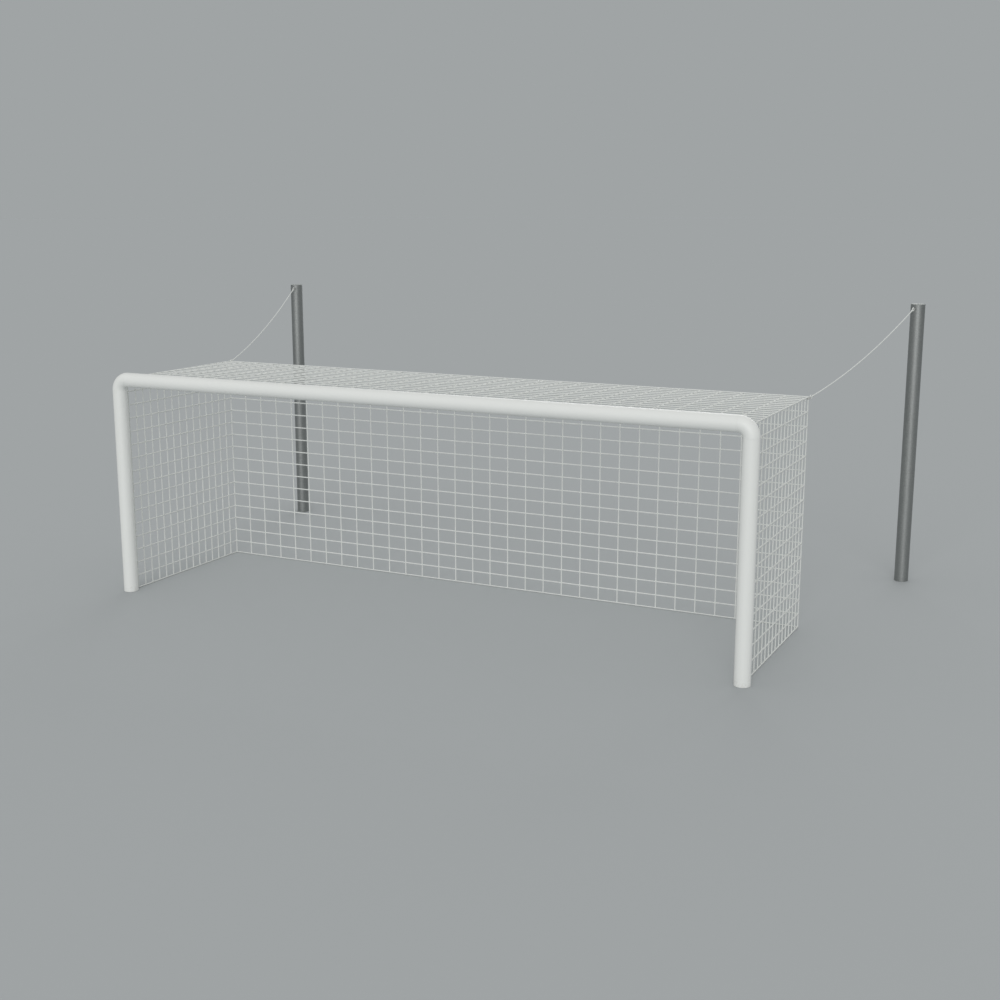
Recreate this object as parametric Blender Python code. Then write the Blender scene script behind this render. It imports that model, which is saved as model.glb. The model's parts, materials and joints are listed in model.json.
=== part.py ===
"""Full-size soccer goal of round tube with a box net, two rear net poles and their tension cords.

The goal's mouth faces -Y and its crossbar runs along X. The origin is on the ground, at the centre of
the object's footprint. Left and right are as seen from in front of the mouth.
"""

import math

import bmesh
import bpy
import numpy as np
from mathutils import Matrix, Vector

# Driving dimensions of the frame, in metres
MOUTH_WIDTH = 7.32
MOUTH_HEIGHT = 2.44
TUBE_DIAMETER = 0.1651
TUBE_WALL = 0.004
CORNER_RADIUS = 0.125
CORNER_WALL = 0.012
SPIGOT_LENGTH = 0.15
SPIGOT_CLEARANCE = 0.0005
BOLT_DIAMETER = 0.010
BOLT_HEAD_DIAMETER = 0.019
BOLT_HEAD_HEIGHT = 0.0055
BOLT_RIM_HEIGHT = 0.0022
BOLT_FLAT_DIAMETER = 0.0076

# Driving dimensions of the caps
CAP_FLANGE = 0.004
CAP_CHAMFER = 0.0015
CAP_PLUG_LENGTH = 0.030
CAP_PLUG_CLEARANCE = 0.0008

# Driving dimensions of the net, which is drawn with wider cells than its real ones
NET_DEPTH = 2.063
NET_FRONT_SETBACK = 0.129
STRAND_WIDTH = 0.0106
NET_COLUMNS = 16
NET_ROWS = 8
NET_DEPTH_CELLS = 5

# Driving dimensions of the net clips
CLIP_WIDTH = 0.012
CLIP_BASE_WIDTH = 0.026
CLIP_BASE_THICKNESS = 0.0035
CLIP_NECK_WIDTH = 0.007
CLIP_BORE = 0.0165
CLIP_RING_WALL = 0.0035
CLIP_MOUTH_ANGLE = math.radians(35.0)
UPRIGHT_CLIPS = 5
CROSSBAR_CLIPS = 10
CLIP_SPARE_PITCH = 1.0 / 3.0

# Driving dimensions of the rear poles and their eye bolts
POLE_DIAMETER = 0.1651
POLE_WALL = 0.004
POLE_HEIGHT = 3.353
POLE_OUTSET = 0.720
POLE_SETBACK = 4.537
EYE_HEIGHT = 3.300
EYE_RING_RADIUS = 0.016
EYE_WIRE_RADIUS = 0.005
EYE_COLLAR_RADIUS = 0.010
EYE_COLLAR_LENGTH = 0.004
EYE_COLLAR_RIM = 0.0024
EYE_NUT_WIDTH = 0.017
EYE_NUT_HEIGHT = 0.008
EYE_THREAD_PAST_NUT = 0.006

# Driving dimensions of the cords and their spliced loops
CORD_DIAMETER = 0.012
CORD_SAG = 0.078
CORD_POINTS = 40
LOOP_RADIUS = 0.018
SPLICE_LENGTH = 0.050
SPLICE_RADIUS = 0.0095

# Driving dimensions of the snap hooks
HOOK_DROP = 0.0176
HOOK_WIRE_RADIUS = 0.0035
HOOK_HALF_WIDTH = 0.014
HOOK_HALF_STRAIGHT = 0.017
GATE_PIN_RADIUS = 0.0013
GATE_PIN_STATION = 0.004
GATE_NOSE_STATION = 0.003
GATE_NOSE_GAP = 0.0006
GATE_SLOT = 0.0032
GATE_SLOT_DEPTH = 0.004
GATE_END_ANGLES = (math.radians(40.0), math.radians(75.0))
TAB_THICKNESS = 0.0026
TAB_HEIGHT = 0.0052

# Clearance between pieces that touch or seat, and how far a cutter or a joined shape runs on
GAP = 0.0003
OVERRUN = 0.001

# Facets
TUBE_SIDES = 32
CORNER_STEPS = 7
CORNER_BORE_STEPS = 4
BOLT_SIDES = 10
BOLT_CROWN_STEPS = 2
CLIP_BASE_POINTS = 4
CLIP_OUTER_POINTS = 6
CLIP_BORE_POINTS = 10
ROPE_SIDES = 8
RING_STEPS = 16
SHARP_ANGLE = math.radians(35.0)

# Places worked out from the driving dimensions, a gate's pin and nose along its hook among them
TUBE_RADIUS = TUBE_DIAMETER / 2
TUBE_BORE = TUBE_RADIUS - TUBE_WALL
POLE_RADIUS = POLE_DIAMETER / 2
POLE_BORE = POLE_RADIUS - POLE_WALL
UPRIGHT_X = MOUTH_WIDTH / 2 + TUBE_RADIUS
CROSSBAR_Z = MOUTH_HEIGHT + TUBE_RADIUS
POLE_X = MOUTH_WIDTH / 2 + POLE_OUTSET
UPRIGHT_Y = -(POLE_SETBACK + POLE_RADIUS - TUBE_RADIUS) / 2
POLE_Y = UPRIGHT_Y + POLE_SETBACK
NET_FRONT_Y = UPRIGHT_Y + NET_FRONT_SETBACK
NET_BACK_Y = UPRIGHT_Y + NET_DEPTH
HALF_STRAND = STRAND_WIDTH / 2
CORD_RADIUS = CORD_DIAMETER / 2
GATE_PIN_X = -HOOK_HALF_STRAIGHT + GATE_PIN_STATION
GATE_NOSE_X = HOOK_HALF_STRAIGHT - GATE_NOSE_STATION
X, Y, Z = Vector((1, 0, 0)), Vector((0, 1, 0)), Vector((0, 0, 1))


def clear_scene():
    for obj in list(bpy.data.objects):
        bpy.data.objects.remove(obj, do_unlink=True)


def make_material(name, colour, roughness, metallic=0.0):
    material = bpy.data.materials.new(name)
    material.use_nodes = True
    shader = material.node_tree.nodes["Principled BSDF"]
    shader.inputs["Base Color"].default_value = (*colour, 1.0)
    shader.inputs["Roughness"].default_value = roughness
    shader.inputs["Metallic"].default_value = metallic
    return material


def place(x_axis, y_axis, z_axis, origin):
    """A placement whose local axes lie along the three given directions."""
    matrix = Matrix((x_axis, y_axis, z_axis)).transposed().to_4x4()
    matrix.translation = origin
    return matrix


def add_object(name, bm, material, matrix=None, helper=False):
    """Turns a bmesh into a named object. A helper is a cutter or a shape to join, left out of the model."""
    bmesh.ops.remove_doubles(bm, verts=bm.verts, dist=1e-7)
    bmesh.ops.recalc_face_normals(bm, faces=bm.faces)
    mesh = bpy.data.meshes.new(name)
    bm.to_mesh(mesh)
    bm.free()
    mesh.shade_smooth()
    mesh.set_sharp_from_angle(angle=SHARP_ANGLE)
    if material:
        mesh.materials.append(material)
    obj = bpy.data.objects.new(name, mesh)
    bpy.context.collection.objects.link(obj)
    if matrix is not None:
        obj.matrix_world = matrix
    if helper:
        obj.hide_render = True
        obj.display_type = "WIRE"
    return obj


def combine(obj, other, operation):
    modifier = obj.modifiers.new(f"{operation.lower()} {other.name}", "BOOLEAN")
    modifier.operation = operation
    modifier.solver = "EXACT"
    modifier.object = other


def ring(centre, tangent, radius, normal, sides):
    """Points of a circle across the tangent; the normal is the direction square to the path's plane."""
    across = normal.cross(tangent).normalized()
    turns = [2 * math.pi * i / sides for i in range(sides)]
    return [centre + radius * (math.cos(t) * across + math.sin(t) * normal) for t in turns]


def loft(stations, normal, sides, closed=False):
    """Skins circles along a plane path. Stations are (centre, tangent, radius); open ends get flat caps."""
    bm = bmesh.new()
    rings = []
    for centre, tangent, radius in stations:
        rings.append([bm.verts.new(p) for p in ring(centre, tangent, radius, normal, sides)])
    pairs = list(zip(rings, rings[1:]))
    if closed:
        pairs.append((rings[-1], rings[0]))
    else:
        bm.faces.new(rings[0])
        bm.faces.new(rings[-1])
    for first, second in pairs:
        for i in range(sides):
            j = (i + 1) % sides
            bm.faces.new((first[i], first[j], second[j], second[i]))
    return bm


def turned(profile, sides, closed=False):
    """A shape turned about local Z from (radius, height) pairs, or a tube where the profile is closed."""
    stations = [(Z * height, Z, radius) for radius, height in profile]
    return loft(stations, X, sides, closed)


def arc_stations(centre, start, normal, sweep, steps, radius):
    """Stations along an arc: start is the vector from the centre to the arc's first point."""
    stations = []
    for i in range(steps + 1):
        turn = Matrix.Rotation(sweep * i / steps, 3, normal)
        arm = turn @ start
        tangent = normal.cross(arm).normalized() * math.copysign(1, sweep)
        stations.append((centre + arm, tangent, radius))
    return stations


def torus(ring_radius, wire_radius, steps, sides):
    """A closed ring of round wire about the local Z axis."""
    stations = arc_stations(Vector(), X * ring_radius, Z, 2 * math.pi, steps, wire_radius)
    return loft(stations[:-1], Z, sides, closed=True)


def cylinder_between(name, start, end, radius, sides):
    """A helper cylinder from one point to another."""
    along = (end - start).normalized()
    side = along.orthogonal().normalized()
    matrix = place(side, along.cross(side), along, start)
    bm = turned([(radius, 0.0), (radius, (end - start).length)], sides)
    return add_object(name, bm, None, matrix, helper=True)


def tube(name, radius, bore, start, end, material):
    """A straight open tube between two points."""
    along = (end - start).normalized()
    side = along.orthogonal().normalized()
    length = (end - start).length
    profile = [(radius, 0.0), (radius, length), (bore, length), (bore, 0.0)]
    matrix = place(side, along.cross(side), along, start)
    return add_object(name, turned(profile, TUBE_SIDES, closed=True), material, matrix)


def end_cap(name, radius, bore, centre, inwards, material):
    """A cap with a chamfered flange over the tube's end and a plug inside its bore."""
    plug = bore - CAP_PLUG_CLEARANCE
    profile = [
        (radius - CAP_CHAMFER, 0.0),
        (radius, CAP_CHAMFER),
        (radius, CAP_FLANGE),
        (plug, CAP_FLANGE),
        (plug - CAP_CHAMFER, CAP_FLANGE + CAP_PLUG_LENGTH),
    ]
    side = Y * inwards.z
    matrix = place(X, side, inwards, centre)
    return add_object(name, turned(profile, TUBE_SIDES), material, matrix)


def hand_name(side):
    return "left" if side < 0 else "right"


def corner_elbow(side, material):
    """The bend and its two spigots as one hollow casting: a circle carried down, round and along."""
    spigot = TUBE_BORE - SPIGOT_CLEARANCE
    bore = TUBE_RADIUS - CORNER_WALL
    bend_centre = Vector((side * (UPRIGHT_X - CORNER_RADIUS), UPRIGHT_Y, CROSSBAR_Z - CORNER_RADIUS))
    outward = X * side
    normal = outward.cross(Z).normalized()
    foot = bend_centre + outward * CORNER_RADIUS
    head = bend_centre + Z * CORNER_RADIUS
    start = outward * CORNER_RADIUS
    sweep = math.pi / 2
    outer = [(foot - Z * SPIGOT_LENGTH, Z, spigot), (foot, Z, spigot)]
    outer += arc_stations(bend_centre, start, normal, sweep, CORNER_STEPS, TUBE_RADIUS)
    outer += [(head, -outward, spigot), (head - outward * SPIGOT_LENGTH, -outward, spigot)]
    inner = [(foot - Z * SPIGOT_LENGTH, Z, bore)]
    inner += arc_stations(bend_centre, start, normal, sweep, CORNER_BORE_STEPS, bore)
    inner += [(head - outward * SPIGOT_LENGTH, -outward, bore)]
    bm = loft(outer + inner[::-1], normal, TUBE_SIDES, closed=True)
    return add_object(f"{hand_name(side)}_corner_elbow", bm, material)


def clamping_bolt(name, tube_piece, elbow, seat_centre, material):
    """A button-head bolt from the rear through the tube wall and into the spigot, with its hole."""
    head_seat = TUBE_RADIUS + GAP
    shank_end = TUBE_RADIUS - CORNER_WALL - OVERRUN
    radius = BOLT_DIAMETER / 2
    head = BOLT_HEAD_DIAMETER / 2
    flat = BOLT_FLAT_DIAMETER / 2
    crown = BOLT_HEAD_HEIGHT - BOLT_RIM_HEIGHT
    profile = [(radius, shank_end), (radius, head_seat), (head, head_seat)]
    for angle in np.linspace(0.0, math.pi / 2, BOLT_CROWN_STEPS + 1):
        height = head_seat + BOLT_RIM_HEIGHT + crown * math.sin(angle)
        profile.append((flat + (head - flat) * math.cos(angle), height))
    matrix = place(Z, X, Y, seat_centre)
    bolt = add_object(name, turned(profile, BOLT_SIDES), material, matrix)
    outside = seat_centre + Y * (TUBE_RADIUS + OVERRUN)
    hole = cylinder_between(f"{name}_hole", seat_centre, outside, radius + GAP, BOLT_SIDES)
    combine(tube_piece, hole, "DIFFERENCE")
    combine(elbow, hole, "DIFFERENCE")
    return bolt


def build_frame(white, cap_white, steel):
    seat = CORNER_RADIUS + GAP
    bar_end = X * (UPRIGHT_X - seat)
    bar_centre = Vector((0, UPRIGHT_Y, CROSSBAR_Z))
    crossbar = tube("crossbar", TUBE_RADIUS, TUBE_BORE, bar_centre - bar_end, bar_centre + bar_end, white)
    for side in (-1, 1):
        hand = hand_name(side)
        ground = Vector((side * UPRIGHT_X, UPRIGHT_Y, 0))
        foot = ground + Z * (CAP_FLANGE + GAP)
        top = ground + Z * (CROSSBAR_Z - seat)
        upright = tube(f"{hand}_upright", TUBE_RADIUS, TUBE_BORE, foot, top, white)
        end_cap(f"{hand}_foot_cap", TUBE_RADIUS, TUBE_BORE, ground, Z, cap_white)
        elbow = corner_elbow(side, white)
        below = ground + Z * (CROSSBAR_Z - CORNER_RADIUS - SPIGOT_LENGTH / 2)
        beside = bar_centre + X * side * (UPRIGHT_X - CORNER_RADIUS - SPIGOT_LENGTH / 2)
        clamping_bolt(f"{hand}_upright_bolt", upright, elbow, below, steel)
        clamping_bolt(f"{hand}_crossbar_bolt", crossbar, elbow, beside, steel)


def spans(low, high, centres):
    """Cuts the stretch from low to high into strands and gaps, as (end positions, is each one a strand)."""
    ends, strand = [low], []
    for centre in sorted(centres):
        if centre - HALF_STRAND > ends[-1] + OVERRUN:
            ends.append(centre - HALF_STRAND)
            strand.append(False)
        ends.append(centre + HALF_STRAND)
        strand.append(True)
    if high > ends[-1] + OVERRUN:
        ends.append(high)
        strand.append(False)
    return ends, strand


def net_panel(name, u_spans, v_spans, matrix, material):
    """A flat grid of square strands in the local XY plane, centred on it in thickness."""
    u_ends, u_strand = u_spans
    v_ends, v_strand = v_spans
    bm = bmesh.new()
    verts = [[bm.verts.new((u, v, -HALF_STRAND)) for v in v_ends] for u in u_ends]
    faces = []
    for i, along_v in enumerate(u_strand):
        for j, along_u in enumerate(v_strand):
            if along_v or along_u:
                corners = (verts[i][j], verts[i + 1][j], verts[i + 1][j + 1], verts[i][j + 1])
                faces.append(bm.faces.new(corners))
    loose = [v for column in verts for v in column if not v.link_faces]
    bmesh.ops.delete(bm, geom=loose, context="VERTS")
    raised = bmesh.ops.extrude_face_region(bm, geom=faces, use_keep_orig=True)
    moved = [g for g in raised["geom"] if isinstance(g, bmesh.types.BMVert)]
    bmesh.ops.translate(bm, verts=moved, vec=Z * STRAND_WIDTH)
    return add_object(name, bm, material, matrix)


def build_net(cord_white):
    """The roof carries all its edge ropes, each side its front, rear and ground ropes, the back its own."""
    columns = np.linspace(-UPRIGHT_X, UPRIGHT_X, NET_COLUMNS + 1)
    depths = np.linspace(NET_FRONT_Y, NET_BACK_Y, NET_DEPTH_CELLS + 1)
    rows = np.linspace(CROSSBAR_Z, 0.0, NET_ROWS + 1)[1:]
    rows[-1] = HALF_STRAND
    under_roof = CROSSBAR_Z - HALF_STRAND - GAP
    inside_corner = UPRIGHT_X - HALF_STRAND - GAP
    roof_u = spans(columns[0] - HALF_STRAND, columns[-1] + HALF_STRAND, columns)
    roof_v = spans(depths[0] - HALF_STRAND, depths[-1] + HALF_STRAND, depths)
    height_spans = spans(0.0, under_roof, rows)
    roof_place = place(X, Y, Z, Z * CROSSBAR_Z)
    net_panel("net_roof", roof_u, roof_v, roof_place, cord_white)
    back_u = spans(-inside_corner, inside_corner, columns[1:-1])
    back_place = place(X, Z, -Y, Y * NET_BACK_Y)
    net_panel("net_back", back_u, height_spans, back_place, cord_white)
    for side in (-1, 1):
        side_place = place(Y, Z, X, X * side * UPRIGHT_X)
        net_panel(f"net_{hand_name(side)}_side", roof_v, height_spans, side_place, cord_white)


def clip_outline():
    """Outline of a clip: local X runs from the tube's axis through the rope, local Y across."""
    seat = TUBE_RADIUS + GAP
    half_base = math.asin(CLIP_BASE_WIDTH / 2 / seat)
    base = np.linspace(half_base, -half_base, CLIP_BASE_POINTS)
    points = [(seat * math.cos(a), seat * math.sin(a)) for a in base]
    back = TUBE_RADIUS + GAP + CLIP_BASE_THICKNESS
    outer = CLIP_BORE / 2 + CLIP_RING_WALL
    neck = math.asin(CLIP_NECK_WIDTH / 2 / outer)
    rope = NET_FRONT_SETBACK
    points.append((back, -CLIP_BASE_WIDTH / 2))
    points.append((back, -CLIP_NECK_WIDTH / 2))
    lower = np.linspace(-math.pi + neck, -CLIP_MOUTH_ANGLE, CLIP_OUTER_POINTS)
    points += [(rope + outer * math.cos(a), outer * math.sin(a)) for a in lower]
    around = np.linspace(-CLIP_MOUTH_ANGLE, CLIP_MOUTH_ANGLE - 2 * math.pi, CLIP_BORE_POINTS)
    bore = CLIP_BORE / 2
    points += [(rope + bore * math.cos(a), bore * math.sin(a)) for a in around]
    upper = np.linspace(CLIP_MOUTH_ANGLE, math.pi - neck, CLIP_OUTER_POINTS)
    points += [(rope + outer * math.cos(a), outer * math.sin(a)) for a in upper]
    points.append((back, CLIP_NECK_WIDTH / 2))
    points.append((back, CLIP_BASE_WIDTH / 2))
    return points


def clip_mesh():
    bm = bmesh.new()
    face = bm.faces.new([bm.verts.new((x, y, -CLIP_WIDTH / 2)) for x, y in clip_outline()])
    raised = bmesh.ops.extrude_face_region(bm, geom=[face], use_keep_orig=True)
    moved = [g for g in raised["geom"] if isinstance(g, bmesh.types.BMVert)]
    bmesh.ops.translate(bm, verts=moved, vec=Z * CLIP_WIDTH)
    return bm


def build_clips(nylon):
    """Evenly spaced clips, the first half a pitch from the ground or the middle, the last clear of a corner."""
    upright_pitch = CROSSBAR_Z / (UPRIGHT_CLIPS + CLIP_SPARE_PITCH)
    crossbar_pitch = UPRIGHT_X / (CROSSBAR_CLIPS / 2 + CLIP_SPARE_PITCH)
    for side in (-1, 1):
        for number in range(1, UPRIGHT_CLIPS + 1):
            centre = Vector((side * UPRIGHT_X, UPRIGHT_Y, upright_pitch * (number - 0.5)))
            name = f"{hand_name(side)}_upright_clip_{number}"
            add_object(name, clip_mesh(), nylon, place(Y, -X, Z, centre))
    for number in range(1, CROSSBAR_CLIPS + 1):
        offset = crossbar_pitch * (number - 0.5 - CROSSBAR_CLIPS / 2)
        centre = Vector((offset, UPRIGHT_Y, CROSSBAR_Z))
        add_object(f"crossbar_clip_{number:02d}", clip_mesh(), nylon, place(Y, Z, X, centre))


def cord_line(side):
    """Where a cord is held: the rope it hooks on, the eye's far wire, and its direction at each end."""
    hooked = Vector((side * UPRIGHT_X, NET_BACK_Y, CROSSBAR_Z - HOOK_DROP))
    pole = Vector((side * POLE_X, POLE_Y, EYE_HEIGHT))
    towards = hooked - pole
    towards.z = 0
    towards.normalize()
    eye = pole + towards * (POLE_RADIUS + GAP + EYE_COLLAR_LENGTH + 2 * EYE_RING_RADIUS)
    low = (hooked + eye) / 2 - Z * 2 * CORD_SAG
    return hooked, eye, (low - hooked).normalized(), (low - eye).normalized(), low


def rear_pole(side, galvanised, cap_grey):
    hand = hand_name(side)
    ground = Vector((side * POLE_X, POLE_Y, 0))
    foot = ground + Z * (CAP_FLANGE + GAP)
    top = ground + Z * (POLE_HEIGHT - CAP_FLANGE - GAP)
    pole = tube(f"{hand}_rear_pole", POLE_RADIUS, POLE_BORE, foot, top, galvanised)
    end_cap(f"{hand}_pole_foot_cap", POLE_RADIUS, POLE_BORE, ground, Z, cap_grey)
    end_cap(f"{hand}_pole_top_cap", POLE_RADIUS, POLE_BORE, ground + Z * POLE_HEIGHT, -Z, cap_grey)
    return pole


def eye_bolt(side, pole, steel):
    """A forged eye with a collar against the pole, its shank through the wall, and a nut inside."""
    hand = hand_name(side)
    eye = cord_line(side)[1]
    axis = Vector((side * POLE_X, POLE_Y, EYE_HEIGHT))
    out = (eye - axis).normalized()
    beside = out.cross(Z)
    matrix = place(beside, out.cross(beside), out, axis)
    half_nut = EYE_NUT_WIDTH / 2 / math.cos(math.pi / 6)
    nut_face = math.sqrt(POLE_BORE**2 - half_nut**2) - GAP
    seat = POLE_RADIUS + GAP
    centre = seat + EYE_COLLAR_LENGTH + EYE_RING_RADIUS
    shank = [
        (EYE_WIRE_RADIUS, nut_face - EYE_NUT_HEIGHT - EYE_THREAD_PAST_NUT),
        (EYE_WIRE_RADIUS, seat),
        (EYE_COLLAR_RADIUS, seat),
        (EYE_COLLAR_RADIUS, seat + EYE_COLLAR_RIM),
        (EYE_WIRE_RADIUS, centre - EYE_RING_RADIUS + EYE_WIRE_RADIUS / 2),
    ]
    bolt = add_object(f"{hand}_eye_bolt", turned(shank, BOLT_SIDES), steel, matrix)
    ring_place = place(out, beside, -Z, axis + out * centre)
    eye_ring = torus(EYE_RING_RADIUS, EYE_WIRE_RADIUS, RING_STEPS, ROPE_SIDES)
    ring_shape = add_object(f"{hand}_eye_ring", eye_ring, None, ring_place, helper=True)
    combine(bolt, ring_shape, "UNION")
    outside = axis + out * (POLE_RADIUS + OVERRUN)
    hole = cylinder_between(f"{hand}_eye_hole", axis, outside, EYE_WIRE_RADIUS + GAP, BOLT_SIDES)
    combine(pole, hole, "DIFFERENCE")
    hexagon = turned([(half_nut, nut_face - EYE_NUT_HEIGHT), (half_nut, nut_face)], 6)
    nut = add_object(f"{hand}_eye_nut", hexagon, steel, matrix)
    start = axis + out * (nut_face - EYE_NUT_HEIGHT - OVERRUN)
    end = axis + out * (nut_face + OVERRUN)
    thread = cylinder_between(f"{hand}_nut_bore", start, end, EYE_WIRE_RADIUS + GAP, BOLT_SIDES)
    combine(nut, thread, "DIFFERENCE")


def spliced_loop(name, bearing, direction, wire_radius, side_normal, material):
    """A rope loop round a wire at the bearing point, closing into a tapered splice along the direction."""
    slack = LOOP_RADIUS - CORD_RADIUS - GAP - wire_radius
    centre = bearing + direction * slack
    matrix = place(direction, side_normal.cross(direction), side_normal, centre)
    rope_ring = torus(LOOP_RADIUS, CORD_RADIUS, RING_STEPS, ROPE_SIDES)
    loop = add_object(name, rope_ring, material, matrix)
    end = LOOP_RADIUS + SPLICE_LENGTH
    stations = [
        (X * (LOOP_RADIUS - CORD_RADIUS / 3), X, CORD_RADIUS),
        (X * (LOOP_RADIUS + CORD_RADIUS), X, SPLICE_RADIUS),
        (X * (LOOP_RADIUS + SPLICE_LENGTH / 2), X, SPLICE_RADIUS),
        (X * end, X, CORD_RADIUS + GAP),
    ]
    neck = add_object(f"{name}_splice", loft(stations, Z, ROPE_SIDES), None, matrix, helper=True)
    combine(loop, neck, "UNION")
    return centre + direction * end


def tension_cord(name, start, low, end, material):
    """A sagging cord as a tube along the parabola whose end tangents meet at the low point."""
    spacing = np.linspace(0.0, 1.0, CORD_POINTS)[:, None]
    start, low, end = (np.array(p) for p in (start, low, end))
    points = (1 - spacing) ** 2 * start + 2 * spacing * (1 - spacing) * low + spacing**2 * end
    curve = bpy.data.curves.new(name, "CURVE")
    curve.dimensions = "3D"
    curve.bevel_depth = CORD_RADIUS
    curve.bevel_resolution = 2
    curve.use_fill_caps = True
    spline = curve.splines.new("POLY")
    spline.points.add(CORD_POINTS - 1)
    spline.points.foreach_set("co", np.c_[points, np.ones(CORD_POINTS)].ravel())
    spline.use_smooth = True
    curve.materials.append(material)
    bpy.context.collection.objects.link(bpy.data.objects.new(name, curve))


def snap_hook(side, matrix, steel):
    """A long closed hook of round wire, open on its gate side, with a tab that carries the gate's pin."""
    straight = HOOK_HALF_STRAIGHT
    hand = hand_name(side)
    gate_y = Y * HOOK_HALF_WIDTH * -side
    turn = math.pi * -side
    steps = RING_STEPS // 2
    stations = arc_stations(X * -straight, gate_y, Z, turn, steps, HOOK_WIRE_RADIUS)
    stations += arc_stations(X * straight, -gate_y, Z, turn, steps, HOOK_WIRE_RADIUS)
    stations.append((X * GATE_NOSE_X + gate_y, -X, HOOK_WIRE_RADIUS))
    body = add_object(f"{hand}_snap_hook", loft(stations, Z, ROPE_SIDES), steel, matrix)
    tab_start = -straight - HOOK_WIRE_RADIUS
    tab_end = GATE_PIN_X + TAB_HEIGHT / 2
    tab = bmesh.new()
    bmesh.ops.create_cube(tab, size=1.0)
    size = (tab_end - tab_start, TAB_HEIGHT, TAB_THICKNESS)
    bmesh.ops.scale(tab, vec=size, verts=tab.verts)
    bmesh.ops.translate(tab, vec=X * (tab_start + tab_end) / 2 + gate_y, verts=tab.verts)
    tab_shape = add_object(f"{hand}_hook_tab", tab, None, matrix, helper=True)
    combine(body, tab_shape, "UNION")
    pin_reach = Z * (HOOK_WIRE_RADIUS + OVERRUN)
    pin_centre = X * GATE_PIN_X + gate_y
    ends = [matrix @ (pin_centre - pin_reach), matrix @ (pin_centre + pin_reach)]
    hole = cylinder_between(f"{hand}_pin_hole", *ends, GATE_PIN_RADIUS + GAP, BOLT_SIDES)
    combine(body, hole, "DIFFERENCE")
    return pin_centre, hole


def hook_gate(side, matrix, pin_centre, hole, steel):
    """The gate's rod, forked round the tab, with its origin on the pin's axis, and the pin itself."""
    hand = hand_name(side)
    length = GATE_NOSE_X - GATE_NOSE_GAP - GATE_PIN_X
    stations = [(X * length, -X, HOOK_WIRE_RADIUS), (X * 0.0, -X, HOOK_WIRE_RADIUS)]
    for angle in GATE_END_ANGLES:
        station = X * -HOOK_WIRE_RADIUS * math.sin(angle)
        stations.append((station, -X, HOOK_WIRE_RADIUS * math.cos(angle)))
    gate_place = matrix @ Matrix.Translation(pin_centre)
    gate = add_object(f"{hand}_hook_gate", loft(stations, Z, ROPE_SIDES), steel, gate_place)
    slot = bmesh.new()
    bmesh.ops.create_cube(slot, size=1.0)
    low, high = -2 * HOOK_WIRE_RADIUS, GATE_SLOT_DEPTH
    bmesh.ops.scale(slot, vec=(high - low, 4 * HOOK_WIRE_RADIUS, GATE_SLOT), verts=slot.verts)
    bmesh.ops.translate(slot, vec=X * (low + high) / 2, verts=slot.verts)
    slot_shape = add_object(f"{hand}_gate_slot", slot, None, gate_place, helper=True)
    combine(gate, slot_shape, "DIFFERENCE")
    combine(gate, hole, "DIFFERENCE")
    half = HOOK_WIRE_RADIUS
    rivet = turned([(GATE_PIN_RADIUS, -half), (GATE_PIN_RADIUS, half)], BOLT_SIDES)
    add_object(f"{hand}_gate_pin", rivet, steel, gate_place)


def build_pole_side(side, galvanised, cap_grey, steel, cord_white):
    """One rear pole with its eye bolt, its cord, and the snap hook that holds the net's corner rope."""
    hand = hand_name(side)
    pole = rear_pole(side, galvanised, cap_grey)
    eye_bolt(side, pole, steel)
    hooked, eye, from_net, from_pole, low = cord_line(side)
    across = Z.cross(from_net).normalized()
    upright_normal = from_net.cross(across)
    inside_end = HOOK_HALF_STRAIGHT + HOOK_HALF_WIDTH - HOOK_WIRE_RADIUS
    rope_corner = HALF_STRAND * math.sqrt(2) + GAP
    hook_centre = hooked + from_net * (inside_end - rope_corner)
    hook_place = place(from_net, across, upright_normal, hook_centre)
    pin_centre, hole = snap_hook(side, hook_place, steel)
    hook_gate(side, hook_place, pin_centre, hole, steel)
    far_wire = hook_centre + from_net * (HOOK_HALF_STRAIGHT + HOOK_HALF_WIDTH)
    net_end = spliced_loop(f"{hand}_hook_cord_loop", far_wire, from_net, HOOK_WIRE_RADIUS, across, cord_white)
    pole_end = spliced_loop(f"{hand}_pole_cord_loop", eye, from_pole, EYE_WIRE_RADIUS, across, cord_white)
    start = net_end + from_net * GAP
    end = pole_end + from_pole * GAP
    tension_cord(f"{hand}_tension_cord", start, low, end, cord_white)


def main():
    clear_scene()
    white = make_material("white powder-coated tube", (0.80, 0.82, 0.80), 0.35)
    galvanised = make_material("galvanised steel tube", (0.46, 0.47, 0.45), 0.40, 0.9)
    steel = make_material("stainless steel", (0.55, 0.55, 0.54), 0.30, 1.0)
    cap_white = make_material("white moulded cap", (0.70, 0.71, 0.69), 0.50)
    cap_grey = make_material("grey moulded cap", (0.40, 0.41, 0.40), 0.50)
    cord_white = make_material("white twisted net twine", (0.70, 0.72, 0.70), 0.80)
    nylon = make_material("white nylon clip", (0.78, 0.79, 0.77), 0.45)
    build_frame(white, cap_white, steel)
    build_net(cord_white)
    build_clips(nylon)
    for side in (-1, 1):
        build_pole_side(side, galvanised, cap_grey, steel, cord_white)


main()
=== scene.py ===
"""Looks of a full-size soccer goal: white tube, a box net, rear poles, tension cords and snap hooks.

The mouth faces -Y, the crossbar runs along X, the ground is at Z = 0 and left is -X. Lengths are in metres.
"""

import json
import math
from functools import partial

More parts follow.
